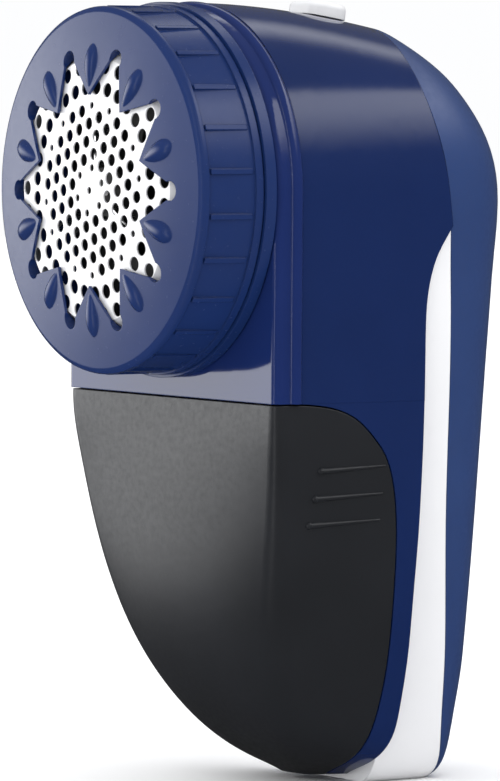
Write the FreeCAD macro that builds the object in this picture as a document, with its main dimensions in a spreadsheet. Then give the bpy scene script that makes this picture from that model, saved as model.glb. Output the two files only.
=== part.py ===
import FreeCAD, Part
import Sketcher
import math
import os
import re

# Fabric shaver.  Every piece is drawn in the head frame: X sideways, Y from the guard's front rim
# plane towards the back, Z up from the head axis.  Each finished piece then carries one placement
# (0, face_y, head_z) that puts the middle of the base's resting face on the origin.

V = FreeCAD.Vector
doc = FreeCAD.newDocument("fabric_shaver")
sheet = doc.addObject("Spreadsheet::Sheet", "dims")

SIZES = [
    # placement of the head frame
    ("face_y", -58.0), ("head_z", 113.4),
    # guard cap
    ("cap_r", 34.5), ("cap_dome", 3.2), ("cap_len", 12.6), ("cap_rear_r", 34.9), ("cap_bore", 32.3),
    ("cap_y", -0.7), ("cap_seat_y", 2.3), ("cap_seat_r", 28.3), ("cap_knee_y", -1.7), ("cap_knee_r", 24.9),
    ("cap_lip_y", -2.45), ("cap_lip_r", 17.7), ("grip_front", 0.9), ("grip_back", 11.0),
    ("grip_depth", 0.45), ("ridge_count", 26), ("ridge_w", 1.0), ("star_points", 10), ("star_tip_r", 27.4),
    ("star_root_r", 17.9), ("star_tip_w", 3.4), ("petal_r0", 17.6), ("petal_len", 10.6), ("petal_w", 4.6),
    ("petal_y", -2.2), ("petal_lean", 10.0), ("petal_sink", 0.85), ("lug_count", 3), ("lug_y0", 10.0),
    ("lug_y1", 11.6), ("lug_r", 31.35), ("lug_w", 6.0),
    # foil and its frame
    ("foil_t", 0.3), ("foil_crown", 1.5), ("foil_y", -1.4), ("foil_flat_r", 24.8), ("foil_skirt_y", 2.7),
    ("foil_skirt_r", 28.2), ("foil_rim_r", 31.4), ("hole_pitch", 3.47), ("hole_d", 2.33),
    ("hole_small_d", 1.4), ("hole_outer_d", 2.7), ("hole_turn", 20.0), ("ring_a_r", 19.3),
    ("ring_b_r", 23.3), ("ring_holes", 33), ("frame_front_y", 3.05), ("frame_r", 31.9),
    ("frame_bore", 28.0), ("frame_groove_r", 30.9), ("frame_groove_y0", 9.6), ("frame_groove_y1", 12.0),
    ("flange_r", 35.4), ("flange_y0", 12.95), ("flange_y1", 15.2), ("spigot_r", 29.6), ("spigot_y", 18.4),
    # rotor
    ("shaft_r", 1.0), ("shaft_y0", 0.9), ("shaft_y1", 55.4), ("hub_r", 5.0), ("hub_y0", 1.2),
    ("hub_y1", 6.2), ("blade_tip_y", -1.65), ("blade_back_y", 3.4), ("blade_t", 0.5), ("blade_in", 4.2),
    ("blade_out", 15.6), ("fan_disc_y", 8.6), ("fan_disc_t", 1.0), ("fan_r", 25.0), ("fan_vane_h", 5.0),
    ("fan_vane_t", 1.1), ("fan_hub_r", 3.6), ("fan_vanes", 9), ("spring_wire", 0.35), ("spring_r", 2.4),
    # motor
    ("motor_r", 12.0), ("motor_y0", 25.0), ("motor_y1", 50.0), ("motor_wall", 0.8), ("bell_y1", 52.2),
    ("boss_r", 4.0), ("boss_y0", 21.6), ("bush_r", 2.6), ("run_gap", 0.05), ("armature_r", 8.2),
    ("armature_y0", 29.0), ("armature_y1", 43.0), ("mount_t", 2.0), ("mount_half", 15.5),
    ("mount_screw_x", 8.5),
    # chamber and duct
    ("bezel_bore", 31.8), ("chamber_r", 31.4), ("chamber_in", 29.9), ("chamber_y0", 16.4),
    ("chamber_y1", 21.4), ("chamber_back", 19.8), ("duct_half", 10.0), ("duct_wall", 1.5),
    ("duct_y1", 33.0), ("duct_top", -18.5), ("duct_bottom", -38.2), ("window_top", -20.2),
    ("window_bottom", -27.6),
    # outer shells
    ("wall", 2.0), ("bezel_y0", 15.5), ("bezel_y1", 21.2), ("seam_z", -38.9), ("gap", 0.3),
    ("bin_wall", 1.8), ("rear_flat_y", 44.0), ("cheek_lead", 3.0), ("back_square", 2.4), ("ridge_r", 0.6),
    ("knob_r", 0.72), ("tip_y", 55.0), ("tip_z", -6.6), ("collar_y", 46.0), ("collar_z0", -98.6),
    ("collar_z1", -19.4), ("foot_y", 53.5), ("button_skirt", 1.4),
    # switch
    ("button_y", 49.0), ("button_len", 8.2), ("button_w", 12.0), ("button_h", 2.5), ("button_z", 33.25),
    ("slide_tilt", 8.5), ("stem_w", 3.0), ("stem_len", 3.2), ("stem_bottom", 24.6), ("slot_len", 9.4),
    ("slot_w", 3.8), ("case_w", 8.0), ("case_len", 15.0), ("case_z0", 19.6), ("case_z1", 26.8),
    # batteries and what holds them
    ("cell_r", 7.25), ("cell_len", 49.3), ("nub_r", 2.75), ("nub_h", 1.2), ("cell_x", 7.85),
    ("cell_y", 62.6), ("tray_half", 16.0), ("tray_y0", 53.6), ("tray_t", 1.4), ("tray_z0", -101.6),
    ("tray_z1", -42.6), ("door_half", 13.0), ("door_z0", -101.0), ("door_z1", -40.0), ("door_y", 68.6),
    # chassis and screws
    ("chassis_y0", 52.4), ("chassis_y1", 54.4), ("chassis_half", 24.0), ("chassis_z0", -30.0),
    ("chassis_z1", 13.0), ("screw_x", 19.0), ("screw_zt", 8.0), ("screw_zb", -24.0), ("screw_head_r", 2.6),
    ("screw_head_h", 1.8), ("screw_r", 1.25), ("screw_len", 14.0), ("screw_seat_y", 67.4),
    ("boss_wall", 1.4), ("wire_r", 0.7),
]

# Stations of the lower front body: height, half width at the shoulder, depth of the shoulder,
# depth of the front face at the middle, half width at the back edge, size of the shoulder rounding.
LOWER = [
    (-38.9, 34.95, 15.7, 15.5, 35.95, 2.4), (-40.4, 34.95, 15.7, 15.5, 35.95, 2.4),
    (-45.0, 34.7, 15.9, 15.5, 36.0, 2.6), (-52.0, 33.7, 16.7, 15.6, 36.0, 2.8),
    (-64.0, 31.4, 18.2, 16.2, 35.1, 3.2), (-76.0, 28.3, 20.3, 17.6, 32.7, 3.8),
    (-88.0, 23.9, 23.7, 21.2, 29.2, 4.4), (-98.0, 18.8, 28.7, 26.7, 25.2, 4.6),
    (-105.0, 14.0, 34.4, 33.0, 21.2, 4.2), (-109.5, 9.0, 40.4, 39.3, 14.6, 3.0),
    (-112.2, 5.2, 45.0, 44.1, 7.6, 2.0),
]
# Stations of the upper front body: depth, half width, height of the arch, squareness of the arch.
UPPER = [
    (14.0, 34.85, 35.31, 2.0), (24.0, 35.31, 35.25, 2.02), (34.0, 35.67, 34.65, 2.08),
    (44.0, 35.9, 33.49, 2.17), (56.0, 36.05, 31.38, 2.3),
]
# Stations of the bezel's front part and of the bead behind it, drawn as the upper body is.
BEZEL = [
    (15.5, 33.5, 32.8, 2.0), (15.65, 34.1, 33.4, 2.0), (16.2, 34.7, 34.0, 2.0), (17.4, 35.05, 34.45, 2.0),
    (18.9, 35.2, 34.7, 2.0),
]
BEAD = [
    (18.6, 34.6, 34.1, 2.0), (18.75, 35.4, 34.9, 2.0), (19.3, 35.9, 35.4, 2.0), (20.0, 36.05, 35.55, 2.0),
    (20.7, 35.85, 35.35, 2.0), (21.2, 35.25, 34.95, 2.0),
]
# Stations of the handle's back: height, half width, depth of the cover's front edge, depth of the back.
BACK = [
    (-113.4, 12.0, 68.2, 71.2), (-111.6, 14.6, 68.3, 73.3), (-106.0, 17.4, 67.4, 75.0),
    (-96.0, 20.0, 65.9, 76.4), (-78.0, 24.5, 62.9, 77.0), (-60.0, 28.0, 60.2, 77.4),
    (-41.0, 31.2, 58.3, 77.6), (-20.0, 34.0, 56.4, 78.4), (-5.0, 35.5, 55.1, 79.6), (5.0, 0.0, 53.7, 78.8),
    (14.0, 0.0, 52.3, 75.0), (21.0, 0.0, 51.8, 69.8), (26.0, 0.0, 52.2, 64.0), (29.4, 0.0, 53.6, 59.9),
    (31.0, 0.0, 54.6, 57.3),
]
# Back edge of the front body, and back edge of the lint container, as depth against height.
BODY_EDGE = [
    (-114.0, 52.2), (-107.0, 52.2), (-103.0, 52.2), (-98.0, 51.8), (-87.0, 50.6), (-76.0, 49.4),
    (-65.0, 48.75), (-54.0, 48.6), (-38.9, 49.0), (-26.0, 49.1), (-19.4, 49.5), (-15.0, 50.45),
    (-11.7, 51.74),
]
BIN_EDGE = [
    (19.0, -39.2), (25.3, -39.6), (30.05, -40.6), (33.95, -42.5), (37.3, -45.5), (40.0, -48.8),
    (41.8, -53.0), (43.0, -58.4), (43.85, -64.8), (45.0, -75.5), (46.25, -86.5), (47.3, -97.5),
    (47.65, -106.3), (47.9, -113.0),
]

names = set()
row = 1
for alias, value in SIZES:
    sheet.set("A%d" % row, alias)
    sheet.set("B%d" % row, str(value))
    sheet.setAlias("B%d" % row, alias)
    names.add(alias)
    row += 1


def table(prefix, rows, heads):
    """Put one station table in the sheet and read it back from the cells."""
    global row
    out = []
    for i, values in enumerate(rows):
        line = []
        for j, value in enumerate(values):
            alias = "%s_%s_%d" % (prefix, heads[j], i + 1)
            sheet.set("A%d" % row, alias)
            sheet.set("B%d" % row, str(value))
            sheet.setAlias("B%d" % row, alias)
            line.append(alias)
            row += 1
        out.append(line)
    return out


cells = {
    "lower": table("low", LOWER, ("height", "shoulder_w", "shoulder_y", "front_y", "back_w", "round")),
    "upper": table("upp", UPPER, ("depth", "half_w", "arch", "square")),
    "bezel": table("bez", BEZEL, ("depth", "half_w", "arch", "square")),
    "bead": table("bea", BEAD, ("depth", "half_w", "arch", "square")),
    "back": table("bak", BACK, ("height", "half_w", "edge_y", "back_y")),
    "edge": table("edg", BODY_EDGE, ("height", "depth")),
    "bin": table("bin", BIN_EDGE, ("depth", "height")),
}
doc.recompute()


def g(alias):
    return float(sheet.get(alias))


def rows_of(key):
    return [[g(a) for a in line] for line in cells[key]]


def bind(obj, prop, text):
    """Bind one property to sheet cells named by their aliases."""
    full = re.sub(r"[a-z]\w*", lambda m: "dims." + m.group(0) if m.group(0) in names else m.group(0), text)
    obj.setExpression(prop, full)


def put(obj, x="0", y="0", z="0", rot=None):
    if rot is not None:
        obj.Placement = FreeCAD.Placement(V(0, 0, 0), rot)
    for axis, text in (("x", x), ("y", y), ("z", z)):
        bind(obj, ".Placement.Base." + axis, text)
    return obj


ALONG_Y = FreeCAD.Rotation(V(1, 0, 0), -90)


def tag(name):
    return "w_" + name


def ycyl(name, r, y0, y1, x="0", z="0"):
    """Cylinder along +Y from y0 to y1."""
    c = doc.addObject("Part::Cylinder", tag(name))
    bind(c, "Radius", r)
    bind(c, "Height", "(%s) - (%s)" % (y1, y0))
    return put(c, x, y0, z, ALONG_Y)


def zcyl(name, r, z0, z1, x="0", y="0"):
    c = doc.addObject("Part::Cylinder", tag(name))
    bind(c, "Radius", r)
    bind(c, "Height", "(%s) - (%s)" % (z1, z0))
    return put(c, x, y, z0)


def box(name, x0, x1, y0, y1, z0, z1):
    b = doc.addObject("Part::Box", tag(name))
    bind(b, "Length", "(%s) - (%s)" % (x1, x0))
    bind(b, "Width", "(%s) - (%s)" % (y1, y0))
    bind(b, "Height", "(%s) - (%s)" % (z1, z0))
    return put(b, x0, y0, z0)


def spoke(name, angle, r0, r1, y0, y1, width):
    """Box that runs outwards from the head axis at the given angle, centred on that direction."""
    b = doc.addObject("Part::Box", tag(name))
    bind(b, "Length", "(%s) - (%s)" % (r1, r0))
    bind(b, "Width", "(%s) - (%s)" % (y1, y0))
    bind(b, "Height", width)
    a = math.radians(angle)
    put(b, "(%s) * %.8f + (%s) / 2 * %.8f" % (r0, math.cos(a), width, math.sin(a)), y0,
        "(%s) * %.8f - (%s) / 2 * %.8f" % (r0, math.sin(a), width, math.cos(a)),
        FreeCAD.Rotation(V(0, 1, 0), -angle))
    return b


def fuse(name, parts):
    f = doc.addObject("Part::MultiFuse", tag(name))
    f.Shapes = parts
    return f


def cut(name, base, tool):
    c = doc.addObject("Part::Cut", tag(name))
    c.Base = base
    c.Tool = tool
    return c


def solid(name, shape):
    """Working solid made by Part functions from the sheet's values."""
    o = doc.addObject("Part::Feature", tag(name))
    o.Shape = shape
    return o


def body_of(name):
    return doc.addObject("PartDesign::Body", tag(name))


def plane_of(body, role):
    return [o for o in body.Origin.OriginFeatures if o.Role == role][0]


def turned(name, points):
    """Body turned about the head axis from a closed outline of (depth, radius) cell expressions."""
    body = body_of(name)
    sk = body.newObject("Sketcher::SketchObject", tag(name) + "_outline")
    sk.AttachmentSupport = [(plane_of(body, "YZ_Plane"), "")]
    sk.MapMode = "FlatFace"
    value = [(cell_sum(py), cell_sum(pr)) for py, pr in points]
    n = len(points)
    for i in range(n):
        p, q = value[i], value[(i + 1) % n]
        sk.addGeometry(Part.LineSegment(V(p[0], p[1], 0), V(q[0], q[1], 0)), False)
    for i in range(n):
        sk.addConstraint(Sketcher.Constraint("Coincident", i, 2, (i + 1) % n, 1))
    for i in range(n):
        for kind, col in (("DistanceX", 0), ("DistanceY", 1)):
            k = sk.addConstraint(Sketcher.Constraint(kind, -1, 1, i, 1, value[i][col]))
            bind(sk, "Constraints[%d]" % k, points[i][col])
    rev = body.newObject("PartDesign::Revolution", tag(name) + "_turn")
    rev.Profile = sk
    rev.ReferenceAxis = (sk, ["H_Axis"])
    rev.Angle = 360
    return body


def cell_sum(text):
    """Value of a small sum of cells, for the sketch's starting geometry."""
    total = 0.0
    for sign, word in re.findall(r"([+-]?)\s*([a-z_0-9.]+)", text):
        number = g(word) if word in names else float(word)
        total += -number if sign == "-" else number
    return total


finished = {}


def finish(node, obj):
    """Give a finished piece its name and its place."""
    obj.Label = node
    bind(obj, ".Placement.Base.y", "face_y")
    bind(obj, ".Placement.Base.z", "head_z")
    finished[node] = obj
    return obj


def finish_shape(node, shape):
    """Finished piece whose shape comes from Part functions."""
    o = doc.addObject("Part::Feature", node)
    o.Shape = shape
    o.Placement = FreeCAD.Placement(V(0, g("face_y"), g("head_z")), FreeCAD.Rotation())
    o.Label = node
    finished[node] = o
    return o


# ---------------------------------------------------------------- envelopes of the outer shells

def bezier(points):
    c = Part.BezierCurve()
    c.setPoles([V(*p) for p in points])
    return c.toShape()


def lower_wire(st, inset):
    """Level outline of the lower front body: front face, two shoulders, two sides and a flat back."""
    z, sw, sy, fy, bw, rd = st
    sw, bw, sy, fy = max(sw - inset, 0.8), max(bw - inset, 1.2), sy + inset, fy + inset
    rd = min(max(rd - 0.3 * inset, 0.5), 0.7 * sw)
    rear = g("chassis_y0")
    k = V(sw, sy, z)
    f = (k - V(0.45 * sw, fy, z)).normalize()
    s = (V(bw, rear, z) - k).normalize()
    f1 = k - f * rd
    s1 = k + s * rd
    cy = (8.0 * fy - 2.0 * f1.y) / 6.0
    mid = V((s1.x + bw) / 2 + 0.35, (s1.y + rear) / 2, z)
    right = [bezier([tuple(f1), tuple(k), tuple(s1)]), bezier([tuple(s1), tuple(mid), (bw, rear, z)])]
    left = [bezier([(-bw, rear, z), (-mid.x, mid.y, z), (-s1.x, s1.y, z)]),
            bezier([(-s1.x, s1.y, z), (-k.x, k.y, z), (-f1.x, f1.y, z)])]
    front = bezier([(-f1.x, f1.y, z), (-0.4 * sw, cy, z), (0.4 * sw, cy, z), tuple(f1)])
    back = Part.LineSegment(V(bw, rear, z), V(-bw, rear, z)).toShape()
    return Part.Wire([front] + right + [back] + left)


def quarter_handle(squareness):
    """Length of a Bezier quarter's handles that matches a superellipse of the given squareness."""
    return (8.0 * 2.0 ** (-1.0 / squareness) - 4.0) / 3.0


def arch_wire(st, inset, y=None, low=None):
    """Upright outline of the upper front body: an arch on two legs."""
    y0, w, t, n = st
    y = y0 if y is None else y
    low = g("seam_z") if low is None else low
    w, t = w - inset, t - inset
    k = quarter_handle(n)
    return Part.Wire([Part.LineSegment(V(-w, y, low), V(w, y, low)).toShape(),
                      Part.LineSegment(V(w, y, low), V(w, y, 0)).toShape(),
                      bezier([(w, y, 0), (w, y, k * t), (k * w, y, t), (0, y, t)]),
                      bezier([(0, y, t), (-k * w, y, t), (-w, y, k * t), (-w, y, 0)]),
                      Part.LineSegment(V(-w, y, 0), V(-w, y, low)).toShape()])


def interp(rows, x, col=1):
    rows = sorted(rows)
    if x <= rows[0][0]:
        return rows[0][col]
    for a, b in zip(rows, rows[1:]):
        if x <= b[0]:
            return a[col] + (b[col] - a[col]) * (x - a[0]) / (b[0] - a[0])
    return rows[-1][col]


def arch_half_width(y, z):
    """Half width of the upper body's outer face at a depth and height."""
    up = rows_of("upper")
    w, t, n = (interp(up, y, c) for c in (1, 2, 3))
    if z <= 0:
        return w
    return w * max(1.0 - (z / t) ** n, 0.0) ** (1.0 / n)


def back_wire(st, inset):
    """Level outline of the handle's back: straight cheeks and a rounded back."""
    z, a, ye, yb = st
    if a == 0.0:
        a = arch_half_width(ye, z)
    a, yb = max(a - inset, 1.5), yb - inset
    ye = ye - g("cheek_lead")
    b = max(yb - ye, 0.6)
    k = quarter_handle(g("back_square"))
    rear = g("rear_flat_y")
    return Part.Wire([Part.LineSegment(V(-a, rear, z), V(a, rear, z)).toShape(),
                      Part.LineSegment(V(a, rear, z), V(a, ye, z)).toShape(),
                      bezier([(a, ye, z), (a, ye + k * b, z), (k * a, yb, z), (0, yb, z)]),
                      bezier([(0, yb, z), (-k * a, yb, z), (-a, ye + k * b, z), (-a, ye, z)]),
                      Part.LineSegment(V(-a, ye, z), V(-a, rear, z)).toShape()])


def lower_solid(inset, drop=0.0):
    st = rows_of("lower")
    wires = [lower_wire(s, inset) for s in st]
    if drop > 0:
        wires = wires[:-1]
    return Part.makeLoft(wires, True, False)


def upper_solid(inset, low=None):
    return Part.makeLoft([arch_wire(s, inset, None, low) for s in rows_of("upper")], True, False)


def back_solid(inset):
    st = rows_of("back")
    if inset > 0:
        st[0][0] += inset
        st[1][0] += 0.9 * inset
        st[-1][0] -= inset
        st[-2][0] -= 0.8 * inset
    return Part.makeLoft([back_wire(s, inset) for s in st], True, False)


def spline_edge(points, level_start=False):
    c = Part.BSplineCurve()
    pts = [V(0, p[0], p[1]) for p in points]
    if level_start:
        tail = pts[-1] - pts[-2]
        c.interpolate(pts, InitialTangent=V(0, 1, 0), FinalTangent=tail.normalize())
    else:
        c.interpolate(pts)
    return c.toShape()


def side_prism(edges_or_points, half=48.0):
    """Prism across the whole width from a closed outline in the side view."""
    if isinstance(edges_or_points[0], tuple):
        pts = [V(-half, p[0], p[1]) for p in edges_or_points]
        wire = Part.makePolygon(pts + [pts[0]])
    else:
        wire = Part.Wire(edges_or_points)
        wire.translate(V(-half, 0, 0))
    return Part.Face(wire).extrude(V(2 * half, 0, 0))


def line(p, q):
    return Part.LineSegment(V(0, p[0], p[1]), V(0, q[0], q[1])).toShape()


def offset_curve(points, d):
    """Move a side-view curve sideways by d, towards the back for a positive d."""
    out = []
    for i, p in enumerate(points):
        a = points[max(i - 1, 0)]
        b = points[min(i + 1, len(points) - 1)]
        ty, tz = b[0] - a[0], b[1] - a[1]
        k = math.hypot(ty, tz)
        out.append((p[0] - d * tz / k, p[1] + d * ty / k))
    return out


def front_of_curve(points):
    """Prism of everything in front of and below a side-view curve."""
    first, last = points[0], points[-1]
    loop = [line((0.0, first[1]), first), spline_edge(points, True), line(last, (last[0], -125.0)),
            line((last[0], -125.0), (0.0, -125.0)), line((0.0, -125.0), (0.0, first[1]))]
    return side_prism(loop)


def box_shape(x0, x1, y0, y1, z0, z1):
    return Part.makeBox(x1 - x0, y1 - y0, z1 - z0, V(x0, y0, z0))


def ycyl_shape(r, y0, y1, x=0.0, z=0.0):
    return Part.makeCylinder(r, y1 - y0, V(x, y0, z), V(0, 1, 0))


wall = g("wall")
gap = g("gap")
seam = g("seam_z")
low0 = lower_solid(0.0)
upp0 = upper_solid(0.0)
bak0 = back_solid(0.0)
bak_in = back_solid(wall)
bin_pts = [tuple(p) for p in rows_of("bin")]
edge_pts = [(p[1], p[0]) for p in rows_of("edge")]
crease_pts = [(p[2], p[0]) for p in rows_of("back")]
tip_pt = (g("tip_y"), g("tip_z"))
past_tip = (g("tip_y") + 0.64, g("tip_z") + 1.0)


def shifted(points, d):
    return [(p[0] + d, p[1]) for p in points]


def fine_samples(points):
    """Closely spaced (height, depth) pairs along the smooth curve through side-view points."""
    return [(q.z, q.y) for q in spline_edge(points).discretize(300)]


def ahead_of_body_edge(d):
    """Everything in front of the front body's back edge and of the crease, moved back by d."""
    curve = shifted(edge_pts + [tip_pt, past_tip], d)
    low = curve[0]
    top = curve[-1]
    lower = side_prism([line((0.0, -125.0), (low[0], -125.0)), line((low[0], -125.0), low), spline_edge(curve),
                        line(top, (90.0, top[1])), line((90.0, top[1]), (90.0, 45.0)),
                        line((90.0, 45.0), (0.0, 45.0)), line((0.0, 45.0), (0.0, -125.0))])
    return lower.cut(behind_crease(d))


def behind_crease(d):
    """Everything behind the back cover's front edge, moved back by d."""
    curve = shifted(crease_pts, d)
    low = curve[0]
    top = curve[-1]
    return side_prism([spline_edge(curve), line(top, (top[0], 45.0)), line((top[0], 45.0), (90.0, 45.0)),
                       line((90.0, 45.0), (90.0, -125.0)), line((90.0, -125.0), (low[0], -125.0)),
                       line((low[0], -125.0), low)])


bin_zone = front_of_curve(bin_pts)
bin_clear = front_of_curve(offset_curve(bin_pts, gap))
bulk_back = front_of_curve(offset_curve(bin_pts, gap + 1.8))
body_zone = ahead_of_body_edge(0.0)

# ---------------------------------------------------------------- front body

front0 = upp0.fuse(low0)
low_in = lower_solid(wall)
upp_in = upper_solid(wall)
low_mid = lower_solid(0.5 * wall)
upp_mid = upper_solid(0.5 * wall)
housing = upp0.cut(upp_in).fuse(low0.cut(low_in)).cut(bin_clear)
bulkhead = bulk_back.cut(bin_clear)
housing = housing.fuse([upp_mid.common(bulkhead), low_mid.common(bulkhead)])
keel = low0.common(box_shape(-45, 45, 30, 60, -114, -110.2)).cut(bin_clear)
housing = housing.fuse(keel)
housing = housing.common(box_shape(-45, 45, g("bezel_y1") + 0.03, 60, -125, 45)).common(body_zone)
rim_space = ahead_of_body_edge(-1.8)
rear_rim = low0.cut(rim_space).common(body_zone)
rear_rim = rear_rim.common(box_shape(-45, 45, 40, 60, -109, seam - 1)).cut(bin_clear)
tunnel = back_solid(-0.12).common(box_shape(-45, 45, 40, 80, -99.0, -19.0))
housing = housing.fuse(rear_rim).cut(tunnel)
duct_hole = box_shape(-g("duct_half") - gap, g("duct_half") + gap, 10, g("duct_y1") + gap, -42, seam + 3)
housing = housing.cut(duct_hole)
button_tilt = FreeCAD.Rotation(V(1, 0, 0), -g("slide_tilt"))
slot_mid = V(0, g("button_y") - 2.0, g("button_z"))
slot = box_shape(-g("slot_w") / 2, g("slot_w") / 2, -g("slot_len") / 2, g("slot_len") / 2, -6, 6)
slot.Placement = FreeCAD.Placement(slot_mid, button_tilt)
housing = housing.cut(slot)
finish_shape("main_housing", housing.removeSplitter())

# ---------------------------------------------------------------- front bezel

bezel_front = Part.makeLoft([arch_wire(s, 0.0) for s in rows_of("bezel")], True, False)
bezel_bead = Part.makeLoft([arch_wire(s, 0.0) for s in rows_of("bead")], True, False)
bezel = bezel_front.fuse(bezel_bead)
bezel_in = upp_in.common(box_shape(-45, 45, g("bezel_y0") + 1.9, 30, seam + 1.8, 45))
bezel = bezel.cut(bezel_in).cut(ycyl_shape(g("bezel_bore"), 0, 40))
finish_shape("front_bezel", bezel.removeSplitter())

# ---------------------------------------------------------------- lint container

bin_wall = g("bin_wall")
bin_hollow = lower_solid(bin_wall).common(side_prism([
    (0.0, -39.2 - bin_wall), (24.0, -39.5 - bin_wall), (30.0, -42.6), (33.4, -44.5), (36.4, -47.4),
    (38.8, -51.0), (60.0, -51.0), (60.0, -110.2), (0.0, -110.2)]))
mouth_half = g("duct_half") - 1.5
mouth = box_shape(-mouth_half, mouth_half, g("chamber_y1") + 0.8, g("duct_y1") - 1.5, -46, -38)
bin_shape = low0.common(bin_zone).cut(bin_hollow).cut(mouth)


def side_x(y, z):
    """Outer half width of the lower front body at a depth and height."""
    across = low0.common(Part.makeLine(V(0, y, z), V(60, y, z)))
    return across.BoundBox.XMax


bin_ribs = []
for side in (-1, 1):
    for level, y0, y1 in ((-51.6, 26.3, 40.4), (-56.8, 25.6, 40.2), (-61.8, 25.0, 40.0)):
        a = V(side * (side_x(y0, level) - 0.1), y0, level)
        b = V(side * (side_x(y1, level + 0.7) - 0.12), y1, level + 0.7)
        rib = Part.makeCone(g("ridge_r"), 0.45 * g("ridge_r"), (b - a).Length, a, b - a)
        knob = Part.makeSphere(g("knob_r"), a)
        bin_ribs.append(rib.fuse(knob))
finish_shape("lint_container", bin_shape.removeSplitter())
finish_shape("grip_ribs", Part.makeCompound(bin_ribs))

# ---------------------------------------------------------------- handle core, back cover, door

back_shell = bak0.cut(bak_in)


def core_zone(d):
    """Side outline of the handle core: body edge, collar inside the body, top, crease and foot."""
    y0, z0, z1 = g("collar_y"), g("collar_z0"), g("collar_z1")
    edge_low = [(interp(edge_zy, z) + d, z) for z in (-118.0, -103.0, z0)]
    heights = (z1, -17.2, -15.0, -13.3, -11.7, -10.2, -8.6, g("tip_z") - 0.3)
    edge_high = [(interp(edge_zy, z) + d, z) for z in heights]
    crease = [p for p in crease_pts if p[1] < -10.0]
    crease.append((interp(crease_zy, g("tip_z") - 0.3), g("tip_z") - 0.3))
    foot = (crease[0][0], -118.0)
    return side_prism([line(edge_low[0], edge_low[1]), line(edge_low[1], edge_low[2]),
                       line(edge_low[2], (y0, z0)), line((y0, z0), (y0, z1)),
                       line((y0, z1), edge_high[0]), spline_edge(edge_high),
                       line(edge_high[-1], crease[-1]), spline_edge(crease), line(crease[0], foot),
                       line(foot, edge_low[0])])


edge_zy = fine_samples(edge_pts + [tip_pt, past_tip])
crease_zy = fine_samples(crease_pts)
foot_front = box_shape(-45, 45, 40, g("foot_y"), -125, -98.8)
core = bak0.cut(bak_in.cut(foot_front)).common(core_zone(0.15))
finish_shape("handle_core", core.removeSplitter())

cover = back_shell.common(behind_crease(0.12))
door_zone = box_shape(-g("door_half"), g("door_half"), g("door_y"), 90, g("door_z0"), g("door_z1"))
door_hole = box_shape(-g("door_half") - gap, g("door_half") + gap, g("door_y") - 1, 90, g("door_z0") - 0.5,
                      g("door_z1") + gap)
door = back_shell.common(door_zone)
cover = cover.cut(door_hole)
screw_spots = [(sx * g("screw_x"), z) for sx in (-1, 1) for z in (g("screw_zt"), g("screw_zb"))]
for x, z in screw_spots:
    tube = ycyl_shape(g("screw_head_r") + 0.3 + g("boss_wall"), g("chassis_y1") + 6.0, 82, x, z).common(bak0)
    cover = cover.fuse(tube)
for x, z in screw_spots:
    cover = cover.cut(ycyl_shape(g("screw_head_r") + 0.3, g("screw_seat_y"), 90, x, z))
    cover = cover.cut(ycyl_shape(g("screw_r") + 0.25, 40, 90, x, z))
finish_shape("back_cover", cover.removeSplitter())

guides = [box_shape(x - 0.9, x + 0.9, g("door_y") + 0.2, 80, g("door_z0") + 6, g("door_z1") - 6)
          for x in (-10.2, 10.2)]
guides = [b.common(bak_in).cut(back_solid(3.5)) for b in guides]
door = door.fuse([b.common(back_solid(1.0)) for b in guides])
grips = [box_shape(-6.0, 6.0, 70, 90, z, z + 0.9) for z in (-47.0, -49.2, -51.4)]
door = door.cut(Part.makeCompound(grips).cut(back_solid(0.5)))
finish_shape("battery_door", door.removeSplitter())

# ---------------------------------------------------------------- guard cap

CAP = [
    ("cap_y - cap_dome", "0"), ("cap_y - cap_dome", "cap_r - 1.1"), ("cap_y - 0.2", "cap_r - 1.1"),
    ("cap_y + 0.1", "cap_r - 0.5"), ("cap_y + 0.4", "cap_r - 0.15"), ("cap_y + 0.9", "cap_r"),
    ("grip_front", "cap_r"),
    ("grip_front", "cap_r - grip_depth"), ("grip_back", "cap_rear_r - grip_depth"),
    ("grip_back", "cap_rear_r"), ("cap_len", "cap_rear_r"), ("cap_len", "cap_bore"),
    ("cap_seat_y", "cap_bore"), ("cap_seat_y", "cap_seat_r"), ("cap_knee_y", "cap_knee_r"),
    ("cap_lip_y", "cap_lip_r"),
    ("cap_lip_y - 0.7", "14.5"), ("cap_lip_y - 0.7", "0"),
]
cap_blank = turned("cap_blank", CAP)
dome = doc.addObject("Part::Sphere", tag("cap_dome"))
bind(dome, "Radius", "(cap_r * cap_r + cap_dome * cap_dome) / (2 * cap_dome)")
put(dome, "0", "cap_y + (cap_r * cap_r + cap_dome * cap_dome) / (2 * cap_dome) - cap_dome", "0", ALONG_Y)
domed = doc.addObject("Part::MultiCommon", tag("cap_domed"))
domed.Shapes = [cap_blank, dome]


def star_prism():
    """Ten-pointed opening with rounded tips, cut along the head axis."""
    n = int(g("star_points"))
    tip, root, w = g("star_tip_r"), g("star_root_r"), 0.5 * g("star_tip_w")
    edges = []
    for k in range(n):
        a = math.radians(1.0 + 360.0 * k / n)
        b = math.radians(1.0 + 360.0 * (k + 0.5) / n)
        c = math.radians(1.0 + 360.0 * (k - 0.5) / n)
        u, t = V(math.cos(a), 0, math.sin(a)), V(-math.sin(a), 0, math.cos(a))
        p_in = V(root * math.cos(c), 0, root * math.sin(c))
        p_out = V(root * math.cos(b), 0, root * math.sin(b))
        s0 = u * (tip - 1.5 * w) - t * w
        s1 = u * (tip - 1.5 * w) + t * w
        edges.append(Part.LineSegment(p_in, s0).toShape())
        edges.append(Part.Arc(s0, u * tip, s1).toShape())
        edges.append(Part.LineSegment(s1, p_out).toShape())
    face = Part.Face(Part.Wire(edges))
    face.translate(V(0, -8, 0))
    return face.extrude(V(0, 20, 0))


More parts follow.
